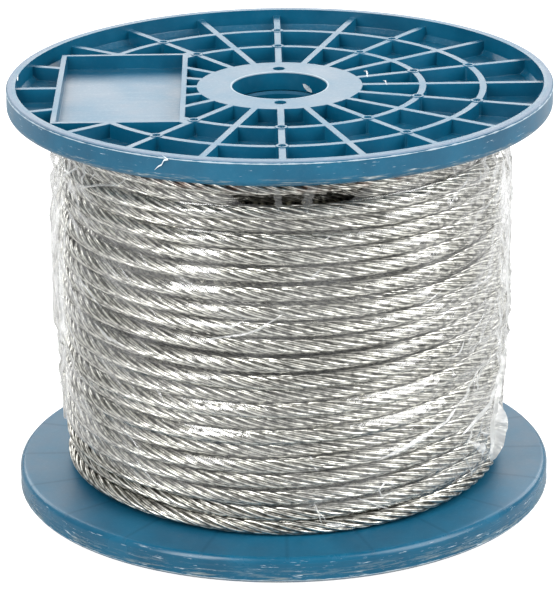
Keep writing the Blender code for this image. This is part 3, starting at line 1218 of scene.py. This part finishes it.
@dataclass
class FilmWrap:
    """The stretch film round the winding, in millimetres. Its edges are in azimuths and heights."""

    rope: RopeWinding
    columns: int = 600
    rows: int = 160
    lift: float = 0.3
    dip: float = 0.95
    soften: float = 0.28
    bulge: float = 3.2
    flat_height: float = 134.0
    scatter_seed: int = 11
    scattered: int = 64
    upper_edge: tuple[Pair, ...] = (
        (-180, 158), (-110, 158.5), (-60, 159), (-40, 156), (-30, 153.5), (-14, 152.5), (-10, 147.5),
        (0, 146.8), (16, 147), (20, 152), (26, 157), (40, 159), (110, 158.5), (180, 158))
    lower_edge: tuple[Pair, ...] = (
        (-180, 24), (-110, 27), (-74, 33), (-59, 30.5), (-46, 28.8), (-33, 26.5), (-21, 24.7), (-14, 23.2),
        (11, 20.9), (43, 19), (61, 18.9), (79, 20.6), (110, 19), (180, 24))
    front_folds: tuple[Fold, ...] = (
        Fold(((-21, 91.8), (-17, 93.1), (-10, 95.5), (-6, 98.2), (-3, 101.2), (0, 104.9)), 1.3, 0.6),
        Fold(((-24, 99.5), (-19, 98.4), (-13, 98.5), (-10, 100.9)), 1.5, 0.4),
        Fold(((23, 39.5), (28, 41.4), (33, 43.1), (39, 45.5), (45, 47.9), (50, 53.2)), 2.6, 0.9),
        Fold(((18, 24.9), (21, 23.0), (24, 20.0), (27, 17.9)), 1.2, 0.8),
        Fold(((29, 26.7), (26, 30.0), (24, 26.9), (25, 23.7), (29, 25.0)), 0.9, 0.6),
        Fold(((-63, 140.8), (-54, 145.2), (-46, 148.0), (-43, 151.3), (-40, 154.3)), 1.1, 1.0),
        Fold(((-68, 150.0), (-69, 142.3)), 1.0, 1.0),
        Fold(((-61, 150.6), (-65, 146.4), (-69, 142.5)), 1.3, 1.2),
        Fold(((-58, 153.4), (-58, 149.3), (-58, 144.3)), 1.2, 1.2),
        Fold(((-55, 149.5), (-57, 146.1)), 0.8, 0.7),
        Fold(((-64, 144.4), (-65, 140.4), (-65, 137.3)), 1.8, 1.1),
        Fold(((-73, 148.8), (-75, 141.2)), 1.0, 1.0),
        Fold(((48, 154.2), (49, 150.9), (50, 147.3)), 0.7, 0.5), Fold(((59, 147.8), (58, 142.5)), 0.9, 0.7),
        Fold(((63, 151.8), (63, 144.1)), 1.1, 0.9), Fold(((65, 144.8), (67, 140.8)), 0.8, 0.7),
        Fold(((69, 144.5), (70, 140.2)), 0.8, 0.7), Fold(((52, 30.9), (55, 24.7), (57, 17.4)), 0.9, 0.7),
        Fold(((54, 35.8), (59, 30.5), (64, 25.6)), 6.0, 0.9, True),
        Fold(((7, 25.1), (8, 20.3), (9, 15.5)), 0.8, 0.7),
        Fold(((7, 22.5), (9, 19.4), (10, 16.6)), 0.7, 0.7),
        Fold(((10, 15.7), (12, 14.7), (15, 14.0)), 1.8, 0.8),
        Fold(((6, 44.3), (7, 42.5)), 0.8, 0.4), Fold(((7, 40.4), (8, 38.2)), 0.8, 0.4),
        Fold(((36, 99.8), (39, 102.3), (43, 104.7)), 0.8, 0.4),
        Fold(((41, 92.2), (45, 94.4), (48, 95.8)), 0.7, 0.4),
        Fold(((52, 99.6), (59, 100.1), (67, 100.9)), 0.8, 0.6),
        Fold(((61, 35.5), (64, 32.6), (67, 31.0)), 1.6, 1.0),
        Fold(((62, 30.5), (65, 26.0), (67, 21.5)), 0.7, 0.9),
        Fold(((70, 30.0), (75, 27.0), (80, 26.0)), 1.6, 1.4))
    bunched_folds: tuple[Fold, ...] = (
        Fold(((80, 70), (74, 54), (70, 45), (68, 36), (68, 25), (66, 20)), 3.6, 1.8),
        Fold(((73, 41), (71, 30), (68, 18)), 9.0, 5.6),
        Fold(((75, 62), (69, 50), (65, 44.5), (58, 42.5), (51, 39.4)), 3.2, 1.1),
        Fold(((79, 118), (76, 92), (77, 70)), 2.6, 1.2), Fold(((68, 96), (71, 74), (75, 56)), 2.0, 0.9),
        Fold(((-74, 112), (-72, 84), (-75, 58)), 2.2, 1.1), Fold(((-67, 128), (-71, 104)), 1.8, 0.9))
    opening_strips: tuple[Fold, ...] = (
        Fold(((-10, 155.2), (-5, 154.4), (0, 153.4)), 2.4, 0.3),
        Fold(((-1.5, 155.5), (-0.9, 145.0)), 3.6, 0.3),
        Fold(((8.4, 158.5), (6.5, 152), (5.5, 144.5)), 5.2, 0.3))
    scraps: tuple[Scrap, ...] = (
        Scrap(((-105.8, 11.1, 172.2), (-105.6, 5.3, 172.5), (-105.4, 1.0, 172.2)), 0.35),
        Scrap(((34.5, 17.7, 169.7), (35.6, 14.0, 170.6), (35.8, 8.0, 169.8))),
        Scrap(((41.8, 4.9, 169.3), (42.6, 1.0, 170.2), (43.2, -2.3, 169.4))),
        Scrap(((9.6, 14.6, 165.4), (11.4, 13.2, 163.9), (13.3, 11.2, 162.7)), 2.2),
        Scrap(((12.4, 12.2, 165.6), (11.2, 13.2, 163.0), (10.2, 14.0, 160.9)), 1.2))

    def edges(self, azimuth: np.ndarray) -> tuple[np.ndarray, np.ndarray]:
        """Returns the heights of the film's lower and upper edge.

        Args:
            azimuth: Degrees from the front.

        Returns:
            The lower and the upper edge's heights in millimetres.
        """
        ripple = 0.5 * np.sin(np.radians(azimuth * 9)) + 0.3 * np.sin(np.radians(azimuth * 23 + 40))
        lower, upper = (np.interp(azimuth, *zip(*edge)) for edge in (self.lower_edge, self.upper_edge))
        return lower + ripple, upper - ripple

    def crumple(self, azimuth: np.ndarray, height: np.ndarray) -> np.ndarray:
        """Returns how far creases stand out. They rise away from the front.

        Args:
            azimuth: Degrees from the front.
            height: Heights in millimetres.

        Returns:
            From 0 to about 1.
        """
        picks = np.random.default_rng(self.scatter_seed)
        angle = np.radians(azimuth)
        total = np.zeros_like(height)
        for lean in (-1, 1):
            weight = np.clip(0.5 + 0.9 * lean * np.sin(angle), 0.0, 1.0)
            for _ in range(5):
                waves, climb = picks.integers(9, 30), picks.uniform(0.10, 0.34)
                bend = 1.3 * np.sin(picks.integers(2, 6) * angle + height * picks.uniform(0.03, 0.09))
                wave = np.sin(waves * angle - lean * climb * height + bend + picks.uniform(0, math.tau))
                total += weight * (1 - np.abs(wave)) ** 3
        return total / 3.0

    def surface(self, azimuth: np.ndarray, height: np.ndarray) -> np.ndarray:
        """Returns the film's radius: it dips between turns, and stands off at the sides.

        Args:
            azimuth: Degrees from the front.
            height: Heights in millimetres.

        Returns:
            The radii in millimetres.
        """
        side = np.abs(np.sin(np.radians(azimuth))) ** 4
        side = np.where(np.abs(azimuth) > 90, np.maximum(side, 0.35), side)
        dip = self.dip * (1 - 0.75 * side) * np.clip((height - 10) / 50, 0.4, 1.0)
        tight = self.rope.skin(azimuth, height, dip, self.soften)
        middle = np.clip((height - 30) / 40, 0, 1) * np.clip((160 - height) / 25, 0, 1)
        creased = self.crumple(azimuth, height) * (0.2 + 1.3 * side)
        return tight + self.lift + self.bulge * side * middle + creased

    def sleeve(self) -> Item:
        """Models the film round the winding from a grid.

        Returns:
            The sleeve.
        """

        def lay_out(u: np.ndarray, v: np.ndarray) -> np.ndarray:
            """Places the grid's points on the film's surface.

            Args:
                u: The share of the way round the winding, from the back.
                v: The share of the film's height.

            Returns:
                The places in metres.
            """
            azimuth = np.rint(u * self.columns) * TURN / self.columns - 180.0
            lower, upper = self.edges(azimuth)
            height = lower + (upper - lower) * v
            return on_cylinder(azimuth, height, self.surface(azimuth, height))

        return smooth(shaped_grid("film_sleeve", self.columns, self.rows, lay_out, closed_rows=False), 180)

    def scattered_folds(self) -> list[Fold]:
        """Scatters small creases on both sides and round the back, where the film stands off.

        Returns:
            The folds.
        """
        picks = np.random.default_rng(self.scatter_seed)
        folds = []
        for _ in range(self.scattered):
            azimuth, height = picks.uniform(48, 312), picks.uniform(32, 148)
            azimuth = azimuth - TURN if azimuth > 180 else azimuth
            long, lean = picks.uniform(6, 26), math.radians(picks.uniform(12, 62))
            reach = math.degrees(long / 2 * math.cos(lean) / self.rope.winding_radius)
            climb = long / 2 * math.sin(lean) * (1 if azimuth > 0 else -1)
            bow = picks.uniform(-1.5, 1.5)
            path = ((azimuth - reach, height - climb), (azimuth, height + bow),
                    (azimuth + reach, height + climb))
            folds.append(Fold(path, picks.uniform(0.5, 1.3), picks.uniform(0.3, 0.9)))
        return folds

    def fold_ribbon(self, fold: Fold) -> Item:
        """Models one fold as a narrow tent of film along its path, pointed at both ends.

        Args:
            fold: The fold.

        Returns:
            Its ribbon.
        """
        stops = np.array(fold.path, dtype=float)
        arc = np.radians(stops[:, 0]) * self.rope.winding_radius
        gone = np.concatenate([[0.0], np.cumsum(np.hypot(np.diff(arc), np.diff(stops[:, 1])))])
        steps = max(4, round(gone[-1]))

        def lay_out(u: np.ndarray, v: np.ndarray) -> np.ndarray:
            """Places the grid's points along and across the fold.

            Args:
                u: The share of its length.
                v: The share of its width.

            Returns:
                The places in metres.
            """
            way, side = u * gone[-1], 2 * v - 1
            ahead, behind = np.minimum(way + 0.5, gone[-1]), np.maximum(way - 0.5, 0.0)
            along_x, along_y = (np.interp(ahead, gone, part) - np.interp(behind, gone, part)
                                for part in (arc, stops[:, 1]))
            length = np.hypot(along_x, along_y)
            ripple = 0.9 if fold.stiff else 0.8 + 0.2 * np.sin(way * 1.9)
            taper = np.maximum(u if fold.flap else pointed(u), 0.02) * ripple
            across = side * fold.width / 2 * taper
            around = np.interp(way, gone, arc) - across * along_y / length
            height = np.interp(way, gone, stops[:, 1]) + across * along_x / length
            azimuth = np.degrees(around / self.rope.winding_radius)
            lift = 0.12 + fold.rise * taper * (1 - np.abs(side))
            # A stiff fold lies on the highest places within half a turn above and below it.
            reach = (-3.2, -1.6, 0.0, 1.6, 3.2) if fold.stiff else (0.0,)
            base = np.max([self.surface(azimuth, height + off) for off in reach], axis=0)
            return on_cylinder(azimuth, height, base + lift)

        return shaped_grid("fold", steps, 4, lay_out, closed_rows=False)

    def scrap_ribbon(self, scrap: Scrap) -> Item:
        """Models one torn scrap as a narrow strip that follows its path.

        Args:
            scrap: The scrap.

        Returns:
            Its strip.
        """
        stops = np.array(scrap.path)
        share = np.linspace(0, 1, len(stops))

        def lay_out(u: np.ndarray, v: np.ndarray) -> np.ndarray:
            """Places the grid's points along and across the scrap.

            Args:
                u: The share of its length.
                v: The share of its width.

            Returns:
                The places in metres.
            """
            middle = np.stack([np.interp(u, share, stops[:, axis]) for axis in range(3)], axis=1)
            wide = (v - 0.5) * scrap.width * np.maximum(pointed(u), 0.1)
            out = middle[:, :2] / np.linalg.norm(middle[:, :2], axis=1, keepdims=True)
            middle[:, :2] += out * (wide * 0.8)[:, None]
            middle[:, 2] += wide * 0.4
            return middle * MM

        return shaped_grid("scrap", 10, 2, lay_out, closed_rows=False)

    def joined(self, name: str, items: list[Item]) -> Item:
        """Joins pieces into one object.

        Args:
            name: The object's name.
            items: The pieces.

        Returns:
            The object.
        """
        deselect_all()
        for item in items:
            item.select_set(True)
        bpy.context.view_layer.objects.active = items[0]
        bpy.ops.object.join()
        items[0].name = name
        return smooth(items[0], 60)

    def build(self) -> None:
        """Makes the sleeve, its folds, the strips across its opening and the torn scraps."""
        length = math.tau * (self.rope.winding_radius + self.lift)
        film = self.sleeve()
        dress(film, StretchFilm().make("stretch_film", (length, self.flat_height)), Slot.FILM, "stretch_film")
        doubled = StretchFilm(veil="#F4F6F6", haze=0.45, crease_haze=0.3, edge_haze=0.3)
        thick = StretchFilm(veil="#ECEEEE", haze=0.4, crease_haze=0.3, edge_haze=0.3)
        # Painted shade: the strips across the opening lie in the upper flange's shadow, and their veil is
        # painted grey for it.
        thin = StretchFilm(veil="#8B8D8C", haze=0.34, crease_haze=0.2, edge_haze=0.2)
        creased = (*self.front_folds, *self.scattered_folds())
        for name, finish, finish_name, flat_mm, shape, parts in (
                ("film_folds", doubled, "stretch_film_folds", (20.0, 2.0), self.fold_ribbon, creased),
                ("film_bunched_folds", thick, "stretch_film_bunched", (40.0, 4.0), self.fold_ribbon,
                 self.bunched_folds),
                ("film_opening_strips", thin, "stretch_film_strips", (20.0, 4.0), self.fold_ribbon,
                 self.opening_strips),
                ("film_scraps", doubled, "stretch_film_scraps", (8.0, 2.0), self.scrap_ribbon, self.scraps)):
            piece = self.joined(name, [shape(part) for part in parts])
            dress(piece, finish.make(finish_name, flat_mm), Slot.FILM, "stretch_film")


@dataclass(frozen=True)
class SoftLight:
    """A rectangular soft light that faces the spool, in metres. A radiance of 1 is the background's white."""

    name: str
    place: Place
    size: Pair
    radiance: float


@dataclass
class Studio:
    """The pale floor, the soft lights and the camera at the photograph's viewing angle, in metres."""

    eye: Place = (-0.00078, -1.29432, 0.54995)
    target: Place = (-0.00078, 0.0, 0.07893)
    roll: float = -0.642
    swing: float = -0.462
    lens: float = 203.35
    sensor: float = 36.0
    floor_size: float = 6.0
    floor_drop: float = 0.0005
    floor_color: str = "#C8C8C8"
    floor_glow: float = 0.8
    surround: Pair = (0.5, 1.08)
    lit_place: Place = (0.0, 0.0, 0.09)
    lights: tuple[SoftLight, ...] = (
        SoftLight("softbox_left", (-0.70, -0.80, 0.80), (0.45, 1.2), 8.8),
        SoftLight("softbox_right", (1.05, -0.52, 0.80), (0.9, 1.2), 5.8),
        SoftLight("light_wall_behind", (0.0, 1.5, 0.95), (3.6, 0.9), 3.9))

    def camera(self) -> None:
        """Adds the camera. Its sensor width covers the longer side of the frame of 560 by 592 pixels."""
        data = bpy.data.cameras.new("camera")
        data.sensor_fit = "AUTO"
        data.sensor_width = self.sensor
        data.lens = self.lens
        data.clip_start = 0.05
        camera = bpy.data.objects.new("camera", data)
        bpy.context.scene.collection.objects.link(camera)
        turn = Matrix.Rotation(math.radians(self.swing), 3, "Z")
        eye, target = turn @ Vector(self.eye), turn @ Vector(self.target)
        ahead = (target - eye).normalized()
        right = turn @ Vector((1.0, 0.0, 0.0))
        up = right.cross(ahead)
        roll = math.radians(self.roll)
        right, up = right * math.cos(roll) + up * math.sin(roll), up * math.cos(roll) - right * math.sin(roll)
        camera.matrix_world = Matrix.Translation(eye) @ Matrix((right, up, -ahead)).transposed().to_4x4()
        bpy.context.scene.camera = camera

    def shine(self, light: SoftLight) -> None:
        """Adds one soft light.

        Args:
            light: The light.
        """
        data = bpy.data.lights.new(light.name, "AREA")
        data.shape = "RECTANGLE"
        data.size, data.size_y = light.size
        data.energy = light.radiance * math.pi * light.size[0] * light.size[1]
        lamp = bpy.data.objects.new(light.name, data)
        bpy.context.scene.collection.objects.link(lamp)
        lamp.location = light.place
        aim = Vector(self.lit_place) - Vector(light.place)
        lamp.rotation_euler = aim.to_track_quat("-Z", "Y").to_euler()

    def backdrop(self) -> None:
        """Adds the floor and the white surroundings. Both are brighter to the camera than to the spool."""
        deselect_all()
        bpy.ops.mesh.primitive_plane_add(size=self.floor_size, location=(0, 0, -self.floor_drop))
        floor = bpy.context.object
        floor.name = "floor"
        material, add = new_material("lit_white_acrylic")
        pale = add("BsdfDiffuse", linear(self.floor_color))
        lit = add("AddShader", pale, add("Emission", WHITE, self.floor_glow))
        add("OutputMaterial", add("MixShader", add("LightPath", out="Is Camera Ray"), pale, lit))
        floor.data.materials.append(material)
        world = bpy.data.worlds.new("white_surroundings")
        world.use_nodes = True
        world.node_tree.nodes.clear()
        add = partial(add_node, world.node_tree)
        strength = add("MapRange", {0: add("LightPath", out="Is Camera Ray"), 3: self.surround[0],
                                    4: self.surround[1]})
        add("OutputWorld", add("Background", WHITE, strength))
        bpy.context.scene.world = world

    def build(self) -> None:
        """Adds everything that isn't part of the object."""
        self.camera()
        self.backdrop()
        for light in self.lights:
            self.shine(light)
        bpy.context.scene.view_settings.view_transform = "Standard"
        LOG.info("studio: floor, lights and camera")


def main() -> None:
    """Builds the camera and the lights, then the spool from the plastic outwards."""
    logging.basicConfig(level=logging.INFO, format="%(name)s: %(message)s")
    Studio().build()
    FlangeMoulding().build()
    rope = RopeWinding()
    rope.build()
    FilmWrap(rope).build()


if __name__ == "__main__":
    main()
